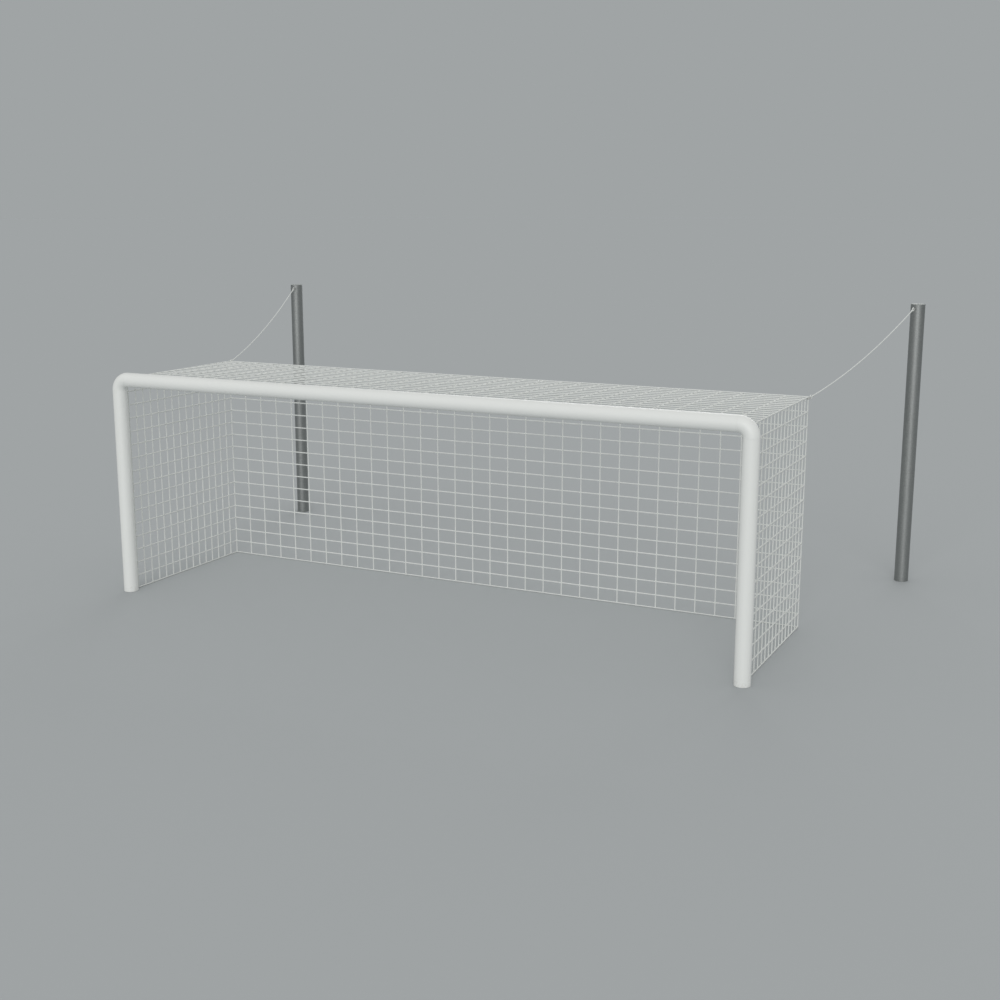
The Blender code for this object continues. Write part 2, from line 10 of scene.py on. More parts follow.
import bpy
import numpy as np
from bpy.props import FloatProperty, FloatVectorProperty, IntProperty, PointerProperty
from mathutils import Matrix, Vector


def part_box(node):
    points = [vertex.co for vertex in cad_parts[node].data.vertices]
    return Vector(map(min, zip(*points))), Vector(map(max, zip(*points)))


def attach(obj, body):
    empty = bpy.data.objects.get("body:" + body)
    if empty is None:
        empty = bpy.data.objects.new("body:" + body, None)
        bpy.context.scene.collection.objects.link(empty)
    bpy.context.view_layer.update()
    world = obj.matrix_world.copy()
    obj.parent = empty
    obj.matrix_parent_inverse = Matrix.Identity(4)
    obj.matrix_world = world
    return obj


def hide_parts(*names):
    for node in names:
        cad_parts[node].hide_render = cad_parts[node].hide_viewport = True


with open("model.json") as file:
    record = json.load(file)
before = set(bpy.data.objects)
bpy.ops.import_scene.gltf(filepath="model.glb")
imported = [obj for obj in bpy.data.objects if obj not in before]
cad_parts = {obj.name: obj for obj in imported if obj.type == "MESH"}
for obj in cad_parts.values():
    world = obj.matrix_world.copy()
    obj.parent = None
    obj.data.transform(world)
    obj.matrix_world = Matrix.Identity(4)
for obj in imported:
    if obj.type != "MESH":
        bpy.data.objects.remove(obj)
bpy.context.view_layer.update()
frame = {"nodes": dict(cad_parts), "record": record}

bl_info = {
    "name": "Soccer goal looks",
    "version": (1, 0, 0),
    "blender": (4, 5, 0),
    "location": "3D View > Sidebar > Goal",
    "description": "Builds the finished surfaces of a soccer goal around its packed frame",
    "category": "Object",
}

X, Y, Z = np.eye(3)


def box_of(name):
    """A frame node's lowest and highest corner as arrays."""
    low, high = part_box(name)
    return np.array(low), np.array(high)


def middle_of(name):
    low, high = box_of(name)
    return (low + high) / 2


def standing_tube(name):
    """The lower and the upper end of a standing tube's axis, and its radius."""
    low, high = box_of(name)
    x, y, _ = middle_of(name)
    return np.array([x, y, low[2]]), np.array([x, y, high[2]]), high[0] - x


# Places of the tubes, read from the frame
UPRIGHT_FOOT, UPRIGHT_TOP, TUBE_RADIUS = standing_tube("right_upright")
UPRIGHT_X, UPRIGHT_Y = UPRIGHT_FOOT[:2]
CROSSBAR_Z = middle_of("crossbar")[2]
CROSSBAR_END = box_of("crossbar")[1][0]
POLE_FOOT, POLE_TOP, POLE_RADIUS = standing_tube("right_rear_pole")

# Places of the net's edge ropes, read from the frame
NET_BACK_Y = middle_of("net_back")[1]
NET_FRONT_Y = box_of("net_roof")[0][1] + NET_BACK_Y - box_of("net_back")[0][1]

# How finely round forms are divided, when points count as one, and which edges are drawn sharp
TUBE_SIDES = 96
WIRE_SIDES = 24
BOLT_SIDES = 48
RING_STATIONS = 48
THREAD_STEPS = 6
RIM_STEPS = 3
SAME_POINT = 1e-7
SHARP_ANGLE = math.radians(40.0)
TWINE_SHARP_ANGLE = math.radians(60.0)

# Sizes of the tubes, castings, caps and bolts that the frame's boxes don't give
GAP = 0.0003
TUBE_WALL = 0.004
CORNER_RADIUS = CROSSBAR_Z - UPRIGHT_TOP[2] - GAP
CORNER_WALL = 0.012
CORNER_LONGEST_STEP = 0.009
SPIGOT_LENGTH = 0.15
SPIGOT_CLEARANCE = 0.0005
SPIGOT_RADIUS = TUBE_RADIUS - TUBE_WALL - SPIGOT_CLEARANCE
CAP_FLANGE = 0.004
CAP_CHAMFER = 0.0015
CAP_PLUG_LENGTH = 0.030
CAP_PLUG_CLEARANCE = 0.0008
CAP_PLUG_RADIUS = TUBE_RADIUS - TUBE_WALL - CAP_PLUG_CLEARANCE
BOLT_RADIUS = 0.005
BOLT_SHANK_LENGTH = CORNER_WALL + 2 * GAP
BOLT_HEAD_RADIUS = 0.0095
BOLT_HEAD_HEIGHT = 0.0055
BOLT_RIM_HEIGHT = 0.0022
BOLT_FLAT_RADIUS = 0.0042
BOLT_SOCKET_APOTHEM = 0.003
BOLT_SOCKET_DEPTH = 0.0034

# Sizes of the net clips
CLIP_SETBACK = NET_FRONT_Y - UPRIGHT_Y
CLIP_WIDTH = 0.012
CLIP_BASE_WIDTH = 0.026
CLIP_BASE_THICKNESS = 0.0035
CLIP_NECK_WIDTH = 0.007
CLIP_BORE_RADIUS = 0.00825
CLIP_RING_WALL = 0.0035
CLIP_MOUTH_ANGLE = math.radians(35.0)
CLIP_EDGE = 0.0005

# The right cord's route: its two ends and the point where its end tangents meet
CORD_AT_HOOK = np.array([3.77368, -0.08467, 2.52969])
CORD_LOW_POINT = np.array([4.04645, 0.97395, 2.74648])
CORD_AT_POLE = np.array([4.33331, 2.08729, 3.26897])
CORD_STATIONS = 560

# Sizes of the cords' loops and splices, and of the thin twine wound round the ropes
CORD_DIAMETER = 0.012
LOOP_RADIUS = 0.018
SPLICE_LENGTH = 0.050
SPLICE_RADIUS = 0.0095
SPLICE_STATIONS = 60
TUCK_LENGTH = 0.013
TUCK_RELIEF = 0.05
THREAD = 0.0012
WHIPPING_TURNS = 9
SERVING_TURNS = 18
SERVING_RADIUS = 0.0078

# How a net twine's ends close, and the knots at the net's corners
TWINE_END_SHARE = 0.94
TWINE_DOME = np.radians([36.0, 66.0])
KNOT_SWELL = 1.2
KNOT_END = math.radians(86.4)
KNOT_STRANDS = 8
KNOT_LAY = 0.02

# Strands in a rope or twine, and the depth of the grooves between them as a share of its radius
STRANDS = 3
STRAND_GROOVE = 0.16

# Yarns in a strand, and how far they lean: 1 runs along the rope, and more leans against the strands
YARNS = 7
YARN_LEAN = 1.3

# Sizes of the eye bolts and the snap hooks
EYE_HEIGHT = middle_of("right_eye_bolt")[2]
EYE_RING_RADIUS = 0.016
EYE_WIRE_RADIUS = 0.005
EYE_COLLAR_RADIUS = 0.010
EYE_COLLAR_LENGTH = 0.004
EYE_COLLAR_RIM = 0.0024
EYE_NECK_RADIUS = 0.0055
EYE_SHANK_INSIDE = 0.014
EYE_EDGE = 0.0006
HOOK_WIRE_RADIUS = 0.0035
HOOK_HALF_WIDTH = 0.014
HOOK_HALF_STRAIGHT = 0.017
HOOK_BEND_STATIONS = 33
HOOK_SPINE_STATIONS = 9
GATE_PIN_X = -0.013
GATE_NOSE_X = 0.014
GATE_NOSE_GAP = 0.0006
TAB_HALF_THICKNESS = 0.0013
TAB_HALF_HEIGHT = 0.0026
TAB_EDGE = 0.0004
CHEEK_HALF_GAP = 0.0017
CHEEK_THICKNESS = 0.0013
CHEEK_EDGE = 0.0003
FORK_LENGTH = 0.0042
WIRE_CHAMFER = 0.0006

# The camera's sensor in mm, and the floor, which lies just under the feet so that they don't share a plane
SENSOR_WIDTH = 36.0
FLOOR_RADIUS = 400.0
FLOOR_THICKNESS = 0.02
FLOOR_DROP = 0.0005

# Which body each node has
BODY_OF = {name: body for body, names in frame["record"]["behaviour"]["bodies"].items() for name in names}


def linear(hex_colour):
    """An sRGB hex colour as linear red, green and blue."""
    srgb = np.array([int(hex_colour[i : i + 2], 16) for i in (0, 2, 4)]) / 255
    return tuple(np.where(srgb <= 0.04045, srgb / 12.92, ((srgb + 0.055) / 1.055) ** 2.4))


def count_property(name, description, count):
    return IntProperty(name=name, description=description, default=count, min=1)


def length_property(name, description, metres):
    return FloatProperty(name=name, description=description, default=metres, min=0.0, unit="LENGTH")


def angle_property(name, description, degrees):
    return FloatProperty(name=name, description=description, default=math.radians(degrees), subtype="ANGLE")


def strength_property(name, description, strength):
    return FloatProperty(name=name, description=description, default=strength, min=0.0)


def colour_property(name, description, hex_colour):
    return FloatVectorProperty(
        name=name, description=description, default=linear(hex_colour), subtype="COLOR", min=0.0, max=1.0
    )


class GoalSizes(bpy.types.PropertyGroup):
    """Sizes of the net, the ropes and the rounded edges."""

    net_columns: count_property("Net columns", "Cells across the mouth", 32)
    net_rows: count_property("Net rows", "Cells from the roof to the ground", 16)
    net_cells_deep: count_property("Net cells deep", "Cells from front to back", 15)
    twine_diameter: length_property("Twine diameter", "Thickness of the net's twine", 0.0144)
    twine_lay: length_property("Twine lay", "Length of one turn of the twine's three strands", 0.048)
    junction_length: length_property("Junction length", "Reach of the swelling where two twines cross", 0.014)
    junction_swell: FloatProperty(
        name="Junction swell", description="How much thicker a crossing is", default=0.08, subtype="FACTOR"
    )
    cord_diameter: length_property("Cord diameter", "Thickness of the tension cords", CORD_DIAMETER)
    cord_lay: length_property("Cord lay", "Length of one turn of a cord's three strands", 0.044)
    tube_edge: length_property("Tube edge", "Rounding of the tubes' sawn ends", 0.0009)
    cap_edge: length_property("Cap edge", "Rounding of the moulded caps", 0.0006)


class GoalColours(bpy.types.PropertyGroup):
    """Colours of the finishes."""

    paint: colour_property("Tube paint", "White powder coat of the frame", "E4E6E3")
    soil: colour_property("Soil", "Dry splashes near the ground", "A79F8E")
    zinc_dark: colour_property("Zinc, dark", "Darker crystals of the galvanised poles", "969897")
    zinc_light: colour_property("Zinc, light", "Lighter crystals of the galvanised poles", "B0B2B0")
    stainless: colour_property("Stainless steel", "Bolts, eyes and hooks", "C2C0BC")
    twine: colour_property("Twine", "Crowns of the net's twine", "E9EBE8")
    # The groove colour is painted shade that falls between the twine's strands
    twine_groove_shade: colour_property("Twine groove", "Between the strands of the twine", "C2C6C2")
    cap: colour_property("Foot caps", "Moulded caps under the uprights", "D9DBD8")
    pole_cap: colour_property("Pole caps", "Moulded caps of the rear poles", "8D928F")
    nylon: colour_property("Clip nylon", "Net clips", "DEE0DC")


class GoalStudio(bpy.types.PropertyGroup):
    """The camera, the lamps and the backdrop."""

    camera_place: FloatVectorProperty(
        name="Camera", description="Where it stands", default=(7.2753, -14.6075, 4.5232), subtype="XYZ"
    )
    camera_pitch: angle_property("Pitch", "How far down it looks", 12.115)
    camera_heading: angle_property("Heading", "Its turn to the left of +Y", 26.377)
    camera_lens: FloatProperty(name="Lens", description="Focal length", default=50.0, unit="CAMERA")
    key_heading: angle_property("Key heading", "The lamp's turn from -Y", 15.0)
    key_height: angle_property("Key height", "The lamp's angle up", 18.0)
    key_strength: strength_property("Key strength", "Light from the front", 1.25)
    back_heading: angle_property("Back heading", "The back lamp's turn from -Y", 190.0)
    back_height: angle_property("Back height", "The back lamp's angle up", 20.0)
    back_strength: strength_property("Back strength", "Light from behind", 0.8)
    softness: angle_property("Softness", "How wide each lamp looks", 45.0)
    sky_strength: strength_property("Sky strength", "Light from all round", 0.62)
    backdrop: colour_property("Backdrop", "Colour of the lit floor and behind it", "A0A4A5")


def unit(vectors):
    """Vectors scaled to a length of one."""
    return vectors / np.linalg.norm(vectors, axis=-1, keepdims=True)


def full_turn(count):
    """Even angles once round, without the last one, which is the first again."""
    return np.linspace(0, 2 * math.pi, count, endpoint=False)


def circle(centre, radius, first, second, q):
    """Points c + r (cos q u + sin q v), and their tangents in the direction of a rising q."""
    line = centre + radius * (np.cos(q) * first + np.sin(q) * second)
    return line, np.cos(q) * second - np.sin(q) * first


def arc(centre, radius, first, last, count):
    """Points c + r (cos q, sin q) in a plane, q running from the first angle to the last."""
    q = np.linspace(first, last, count)
    return centre + radius * np.stack([np.cos(q), np.sin(q)], axis=1)


def bow(a, b, c, t):
    """Points (1-t)^2 A + 2t(1-t) B + t^2 C: from A to C, setting out towards B and arriving from it."""
    return (1 - t) ** 2 * a + 2 * t * (1 - t) * b + t**2 * c


def distances(points, ring=False):
    """Distance run along a line of points, and back to the first one in a ring."""
    if ring:
        points = np.concatenate([points, points[:1]])
    steps = np.linalg.norm(np.diff(points, axis=0), axis=1)
    return np.concatenate([[0.0], np.cumsum(steps)])


def softened(corners, cut, closed=False, steps=4):
    """Rounds each corner B of an outline by a bow from A to C, which lie cut away from it on its two sides.

    One more point on each side, twice as far out, keeps the shading of the flat stretches flat.
    """
    b = np.asarray(corners, float)[:, None]
    beside = []
    for neighbour in (np.roll(b, 1, axis=0), np.roll(b, -1, axis=0)):
        edge = neighbour - b
        length = np.linalg.norm(edge, axis=-1, keepdims=True)
        beside += [b + edge / length * np.minimum(reach, length / 2) for reach in (cut, 2 * cut)]
    a, before, c, behind = beside
    curves = bow(a, b, c, np.linspace(0, 1, steps + 1)[:, None])
    guarded = np.concatenate([before, curves, behind], axis=1)
    if closed:
        points = guarded.reshape(-1, 2)
    else:
        points = np.concatenate([b[0], guarded[1:-1].reshape(-1, 2), b[-1]])
    apart = np.linalg.norm(points - np.roll(points, 1, axis=0), axis=1) > SAME_POINT
    return points[apart]


def divided(profile, step):
    """Adds points to a closed profile so that none of its edges is longer than the step."""
    after = np.roll(profile, -1, axis=0)
    counts = np.maximum(1, np.ceil(np.linalg.norm(after - profile, axis=1) / step)).astype(int)
    edge = np.repeat(np.arange(len(profile)), counts)
    share = (np.arange(len(edge)) - np.repeat(np.cumsum(counts) - counts, counts)) / counts[edge]
    return profile[edge] + share[:, None] * (after - profile)[edge]


def carried(centres, tangents, radii, normal, sides):
    """Circles carried along a plane path: P = c + r (cos a (n x T) + sin a n), n being the plane's normal.

    A straight path has one tangent for all its points, and an even one has one radius.
    """
    angle = full_turn(sides)[:, None]
    across = np.cross(normal, tangents)[..., None, :]
    spokes = np.cos(angle) * across + np.sin(angle) * normal
    return centres[..., None, :] + np.asarray(radii)[..., None] * spokes


def skin(grid, along, lobes=1, lay=math.inf, ring=False):
    """A shell of quads over grid[strand, station, side], closed round each strand.

    A quad's corners are (i, j), (i, j+1), (i+1, j+1), (i+1, j), which faces outwards where the sides run
    anticlockwise about the path. A ring's last station joins its first, and otherwise a flat face closes
    each end. The map is V = distance along, and U = lobes * j / sides + V / lay.
    """
    stations, sides = grid.shape[-3:-1]
    first = stations * sides * np.arange(grid.size // (stations * sides * 3))[:, None, None]
    i, j = np.meshgrid(np.arange(stations - (not ring)), np.arange(sides), indexing="ij")
    rows = np.stack([i, i, i + 1, i + 1], axis=-1).reshape(-1, 4)
    columns = np.stack([j, j + 1, j + 1, j], axis=-1).reshape(-1, 4)
    quads = rows % stations * sides + columns % sides
    v = along[rows]
    uv = np.stack([lobes * columns / sides + v / lay, v], axis=-1)
    faces = [(first + quads).reshape(-1, 4)]
    maps = [np.tile(uv, (len(first), 1, 1))]
    if not ring:
        rim = np.arange(sides)
        ends = np.stack([rim[::-1], (stations - 1) * sides + rim])
        faces.append((first + ends).reshape(-1, sides))
        maps.append(np.zeros((*faces[-1].shape, 2)))
    return {"points": grid.reshape(-1, 3), "faces": faces, "maps": maps}


def turned(profile, origin, axis, sides, ring=False, lobes=1, lay=math.inf):
    """A profile of (radius, height) carried round an axis, with the skin's map."""
    near_x = abs(axis[0]) > 0.9
    normal = unit(np.cross(axis, Y if near_x else X))
    grid = carried(origin + profile[:, 1:] * axis, axis, profile[:, :1], normal, sides)
    return skin(grid, distances(profile, ring), lobes, lay, ring)


def slab(outline, low, high, edge):
    """An outline extruded from low to high along Z, its rims rounded by an inset of edge (1 - sin t)."""
    after = np.roll(outline, -1, axis=0)
    if (outline[:, 0] * after[:, 1] - after[:, 0] * outline[:, 1]).sum() < 0:
        outline = outline[::-1]
    run = np.roll(outline, -1, axis=0) - np.roll(outline, 1, axis=0)
    outwards = unit(np.stack([run[:, 1], -run[:, 0]], axis=1))
    t = np.linspace(0, math.pi / 2, RIM_STEPS + 1)
    inset = edge * np.concatenate([1 - np.sin(t), 1 - np.cos(t)])
    height = np.concatenate([low + edge * (1 - np.cos(t)), high - edge * (1 - np.sin(t))])
    flat = outline - inset[:, None, None] * outwards
    grid = np.concatenate([flat, np.broadcast_to(height[:, None, None], (*flat.shape[:2], 1))], axis=2)
    return skin(grid, height - low)


def placed(shell, origin, axes):
    """A shell moved so that its X, Y and Z lie along the three axes from the origin."""
    return {**shell, "points": shell["points"] @ np.asarray(axes) + origin}


def mirrored(shell):
    """The left side's copy of a shell made for the right: x becomes -x, and faces turn back outwards."""
    return {
        "points": shell["points"] * (-1, 1, 1),
        "faces": [f[:, ::-1] for f in shell["faces"]],
        "maps": [m[:, ::-1] for m in shell["maps"]],
    }


def make_mesh(name, shells, material, sharp_angle):
    """One mesh object from several shells, smooth except across edges sharper than the angle."""
    counts = np.cumsum([0] + [len(s["points"]) for s in shells])
    faces = [f + first for s, first in zip(shells, counts) for f in s["faces"]]
    maps = [m for s in shells for m in s["maps"]]
    corners = np.concatenate([f.ravel() for f in faces])
    sizes = np.concatenate([np.full(len(f), f.shape[1]) for f in faces])
    mesh = bpy.data.meshes.new(name)
    mesh.vertices.add(counts[-1])
    mesh.vertices.foreach_set("co", np.concatenate([s["points"] for s in shells]).ravel())
    mesh.loops.add(len(corners))
    mesh.loops.foreach_set("vertex_index", corners)
    mesh.polygons.add(len(sizes))
    mesh.polygons.foreach_set("loop_start", np.cumsum(sizes) - sizes)
    mesh.update(calc_edges=True)
    layer = mesh.uv_layers.new(name="UVMap")
    layer.uv.foreach_set("vector", np.concatenate([m.reshape(-1, 2) for m in maps]).ravel())
    mesh.shade_smooth()
    mesh.set_sharp_from_angle(angle=sharp_angle)
    mesh.materials.append(material)
    piece = bpy.data.objects.new(name, mesh)
    bpy.context.scene.collection.objects.link(piece)
    return piece


def dress(name, finish, shells, material, sharp_angle=SHARP_ANGLE):
    """A finished piece that stands for a frame node, which it hides, and rides its body."""
    piece = make_mesh(f"{name}_{finish}", shells, material, sharp_angle)
    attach(piece, BODY_OF[name])
    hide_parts(name)
    return piece


def dress_pair(name, finish, shells, material):
    """Dresses both nodes, left_name and right_name, with shells that were made for the right side."""
    left = dress(f"left_{name}", finish, [mirrored(shell) for shell in shells], material)
    return left, dress(f"right_{name}", finish, shells, material)


def node(tree, kind, inputs, **options):
    """Adds a shader node with its options.

    An input, found by its identifier, takes another node's output or a value. Colours are made opaque.
    """
    made = tree.nodes.new("ShaderNode" + kind)
    for option, value in options.items():
        setattr(made, option, value)
    sockets = {socket.identifier: socket for socket in made.inputs}
    for key, value in inputs.items():
        if isinstance(value, bpy.types.NodeSocket):
            tree.links.new(value, sockets[key])
        else:
            sockets[key].default_value = (*value, 1.0) if sockets[key].type == "RGBA" else value
    return {socket.identifier: socket for socket in made.outputs}


def new_material(name):
    """An empty material, and the function that adds a node to it."""
    material = bpy.data.materials.new(name)
    material.use_nodes = True
    material.node_tree.nodes.clear()
    return material, partial(node, material.node_tree)


def powder_coated_steel(colours):
    """Polyester powder baked onto steel tube: an even half gloss, faint orange peel, splashes low down."""
    material, add = new_material("powder coated steel")
    place = add("TexCoord", {})["Object"]
    height = add("SeparateXYZ", {"Vector": place})["Z"]
    # Dry splashes about 25 mm across, which thin out up to 450 mm above the ground
    low_down = add("MapRange", {"Value": height, "From Max": 0.45, "To Min": 0.62, "To Max": 0.0})["Result"]
    splashes = add("TexNoise", {"Vector": place, "Scale": 40.0, "Detail": 4.0})["Fac"]
    soiled = add("Math", {"Value": splashes, "Value_001": low_down}, operation="MULTIPLY")["Value"]
    amount = add("MapRange", {"Value": soiled, "From Min": 0.30, "From Max": 0.55, "To Max": 0.5})["Result"]
    coats = {"Factor_Float": amount, "A_Color": colours.paint, "B_Color": colours.soil}
    paint = add("Mix", coats, data_type="RGBA")["Result_Color"]
    # Handling marks about 170 mm wide change the gloss
    marks = add("TexNoise", {"Vector": place, "Scale": 6.0, "Detail": 5.0})["Fac"]
    rough = add("MapRange", {"Value": marks, "To Min": 0.34, "To Max": 0.46})["Result"]
    # Orange peel is about 2 mm wide on the real coat and drawn at 6 mm, so that it shows
    peel = add("TexNoise", {"Vector": place, "Scale": 160.0, "Detail": 1.0})["Fac"]
    relief = add("Bump", {"Height": peel, "Strength": 0.10, "Distance": 0.0006})["Normal"]
    look = {"Base Color": paint, "Roughness": rough, "IOR": 1.5, "Normal": relief}
    add("OutputMaterial", {"Surface": add("BsdfPrincipled", look)["BSDF"]})
    return material


def galvanised_steel(colours):
    """Hot-dip galvanised tube: dull zinc whose flat crystals differ a little in tone and gloss."""
    material, add = new_material("galvanised steel")
    place = add("TexCoord", {})["Object"]
    # Crystals are about 10 mm across
    crystal = add("TexVoronoi", {"Vector": place, "Scale": 95.0})["Color"]
    tone = add("SeparateXYZ", {"Vector": crystal})["X"]
    # Runs of zinc about 70 mm wide and 1.1 m long, from draining after the bath
    stretched = add("Mapping", {"Vector": place, "Scale": (14.0, 14.0, 0.9)})["Vector"]
    streaks = add("TexNoise", {"Vector": stretched, "Scale": 1.0, "Detail": 3.0})["Fac"]
    mottle = add("Math", {"Value": tone, "Value_001": streaks}, operation="MULTIPLY")["Value"]
    tones = {"Factor_Float": mottle, "A_Color": colours.zinc_dark, "B_Color": colours.zinc_light}
    zinc = add("Mix", tones, data_type="RGBA")["Result_Color"]
    rough = add("MapRange", {"Value": mottle, "To Min": 0.50, "To Max": 0.58})["Result"]
    look = {"Base Color": zinc, "Roughness": rough, "Metallic": 1.0}
    add("OutputMaterial", {"Surface": add("BsdfPrincipled", look)["BSDF"]})
    return material


def stainless_steel(colours):
    """Stainless wire and forgings, tumbled bright: a metal gloss broken by fine handling scratches."""
    material, add = new_material("tumbled stainless steel")
    place = add("TexCoord", {})["Object"]
    # Scratches are under 0.1 mm wide and are drawn at 1 mm, so that they show
    scratches = add("TexNoise", {"Vector": place, "Scale": 900.0, "Detail": 3.0})["Fac"]
    rough = add("MapRange", {"Value": scratches, "To Min": 0.18, "To Max": 0.42})["Result"]
    relief = add("Bump", {"Height": scratches, "Strength": 0.15, "Distance": 0.0001})["Normal"]
    look = {"Base Color": colours.stainless, "Roughness": rough, "Metallic": 1.0, "Normal": relief}
    add("OutputMaterial", {"Surface": add("BsdfPrincipled", look)["BSDF"]})
    return material


def moulded_plastic(name, colour, ior, grain):
    """Injection moulded plastic with a fine spark-eroded grain, scuffed in soft patches."""
    material, add = new_material(name)
    place = add("TexCoord", {})["Object"]
    # Scuffs about 20 mm across
    scuffs = add("TexNoise", {"Vector": place, "Scale": 45.0, "Detail": 4.0})["Fac"]
    rough = add("MapRange", {"Value": scuffs, "To Min": 0.42, "To Max": 0.62})["Result"]
    # The grain is about 0.2 mm on the real mould and is drawn at the size given, so that it shows
    pits = add("TexNoise", {"Vector": place, "Scale": 1.0 / grain, "Detail": 1.0})["Fac"]
    relief = add("Bump", {"Height": pits, "Strength": 0.2, "Distance": 0.0002})["Normal"]
    look = {"Base Color": colour, "Roughness": rough, "IOR": ior, "Normal": relief}
    add("OutputMaterial", {"Surface": add("BsdfPrincipled", look)["BSDF"]})
    return material


def twisted_polyester(name, colours, lay):
    """Three-strand polyester: soft rounded strands with painted shade in their grooves, and yarns laid the
    other way.

    The map's U counts strands and rises by their number over one lay. The yarns' lines are where
    yarns (V strands lean / lay - U) is whole.
    """
    material, add = new_material(name)
    # At this scale a wave texture runs once over each unit of its map
    one_period = math.pi / 10
    surface_map = add("TexCoord", {})["UV"]
    strands = add("TexWave", {"Vector": surface_map, "Scale": one_period})["Fac"]
    # Yarns are under 1 mm wide and drawn at about 2 mm, so that they show. A diagonal band takes two units
    crossed = (-2 * YARNS, 2 * YARNS * STRANDS * YARN_LEAN / lay, 1.0)
    turned_map = add("Mapping", {"Vector": surface_map, "Scale": crossed})["Vector"]
    bands = {"Vector": turned_map, "Scale": one_period}
    yarn_lines = add("TexWave", bands, bands_direction="DIAGONAL")["Fac"]
    place = add("TexCoord", {})["Object"]
    # Handling leaves patches about 140 mm wide a little greyer
    patches = add("TexNoise", {"Vector": place, "Scale": 7.0, "Detail": 3.0})["Fac"]
    clean = add("MapRange", {"Value": patches, "To Min": 0.86, "To Max": 1.0})["Result"]
    crown = add("Math", {"Value": strands, "Value_001": clean}, operation="MULTIPLY")["Value"]
    # The groove colour is painted shade between the strands, and the handling patches grey the crowns a
    # little. The square root widens the crowns and keeps the grooves narrow
    tone = add("Math", {"Value": crown, "Value_001": 0.5}, operation="POWER")["Value"]
    # Painted shade: the grooves between the strands take the darker groove colour
    tones = {"Factor_Float": tone, "A_Color": colours.twine_groove_shade, "B_Color": colours.twine}
    fibre_with_groove_shade = add("Mix", tones, data_type="RGBA")["Result_Color"]
    coarse = add("Bump", {"Height": strands, "Strength": 0.8, "Distance": 0.0012})["Normal"]
    ridges = {"Height": yarn_lines, "Strength": 0.5, "Distance": 0.0002, "Normal": coarse}
    fine = add("Bump", ridges)["Normal"]
    look = {"Base Color": fibre_with_groove_shade, "Roughness": 0.72, "IOR": 1.5, "Sheen Weight": 0.15, "Normal": fine}
    add("OutputMaterial", {"Surface": add("BsdfPrincipled", look)["BSDF"]})
    return material


def open_tube(start, end, radius, edge):
    """A straight open tube: its wall's rectangle, with rounded corners, carried round the axis."""
    length = np.linalg.norm(end - start)
    bore = radius - TUBE_WALL
    profile = softened([(radius, 0), (radius, length), (bore, length), (bore, 0)], edge, closed=True)
    return turned(profile, start, (end - start) / length, TUBE_SIDES, ring=True)


def corner_casting(edge):
    """The right corner: a bend between two spigots, bored through.

    A closed profile of (radius, distance) is carried along a line that runs up, round a quarter circle and
    along: c(t) = foot + t Z, then the arc's centre + R (cos q X + sin q Z) with q = t / R, then head - t X.
    """
    bend = CORNER_RADIUS * math.pi / 2
    start, end = -SPIGOT_LENGTH, bend + SPIGOT_LENGTH
    spigot, body, bore = SPIGOT_RADIUS, TUBE_RADIUS, TUBE_RADIUS - CORNER_WALL
    corners = [(spigot, start), (spigot, 0), (body, 0), (body, bend)]
    corners += [(spigot, bend), (spigot, end), (bore, end), (bore, start)]
    profile = divided(softened(corners, edge, closed=True), CORNER_LONGEST_STEP)
    radius, t = profile[:, :1], profile[:, 1:]
    turn = np.clip(t / CORNER_RADIUS, 0, math.pi / 2)
    centre = np.array([UPRIGHT_X - CORNER_RADIUS, UPRIGHT_Y, CROSSBAR_Z - CORNER_RADIUS])
    line, tangents = circle(centre, CORNER_RADIUS, X, Z, turn)
    line = line + np.minimum(t, 0) * Z - np.maximum(t - bend, 0) * X
    grid = carried(line, tangents, radius, -Y, TUBE_SIDES)
    return skin(grid, distances(profile, ring=True), ring=True)


def tube_cap(centre, inwards, edge):
    """A moulded cap, turned round the tube's axis: a chamfered flange over its end and a plug in its bore."""
    # A small flat face of the hub's radius closes each end
    hub, rim, plug = TUBE_RADIUS / 8, TUBE_RADIUS, CAP_PLUG_RADIUS
    plug_end = CAP_FLANGE + CAP_PLUG_LENGTH
    corners = [(hub, 0), (rim - CAP_CHAMFER, 0), (rim, CAP_CHAMFER), (rim, CAP_FLANGE)]
    corners += [(plug, CAP_FLANGE), (plug, plug_end), (hub, plug_end)]
    return turned(softened(corners, edge), centre, inwards, TUBE_SIDES)


def button_bolt(seat):
    """A button-head bolt along Y with a hexagon socket, its head on the seat and its shank behind it.

    The head's crown is r = flat + (head - flat) cos q, h = rim + crown sin q. Round the socket the radius is
    apothem / cos(a mod 60 degrees - 30 degrees).
    """
    crown = np.array([BOLT_HEAD_RADIUS - BOLT_FLAT_RADIUS, BOLT_HEAD_HEIGHT - BOLT_RIM_HEIGHT])
    dome = arc((BOLT_FLAT_RADIUS, BOLT_RIM_HEIGHT), crown, 0, math.pi / 2, 9)
    apothem, floor = BOLT_SOCKET_APOTHEM, BOLT_HEAD_HEIGHT - BOLT_SOCKET_DEPTH
    shank = [(BOLT_RADIUS, -BOLT_SHANK_LENGTH), (BOLT_RADIUS, 0), (BOLT_HEAD_RADIUS, 0)]
    socket = [(apothem, BOLT_HEAD_HEIGHT), (apothem, floor), (apothem / 4, floor)]
    profile = np.concatenate([shank, dome, socket])
    hexagon = 1 / np.cos(full_turn(BOLT_SIDES) % (math.pi / 3) - math.pi / 6)
    in_socket = np.arange(len(profile))[:, None] >= len(shank) + len(dome)
    radii = profile[:, :1] * np.where(in_socket, hexagon, 1.0)
    grid = carried(seat + profile[:, 1:] * Y, Y, radii, -Z, BOLT_SIDES)
    return skin(grid, distances(profile))


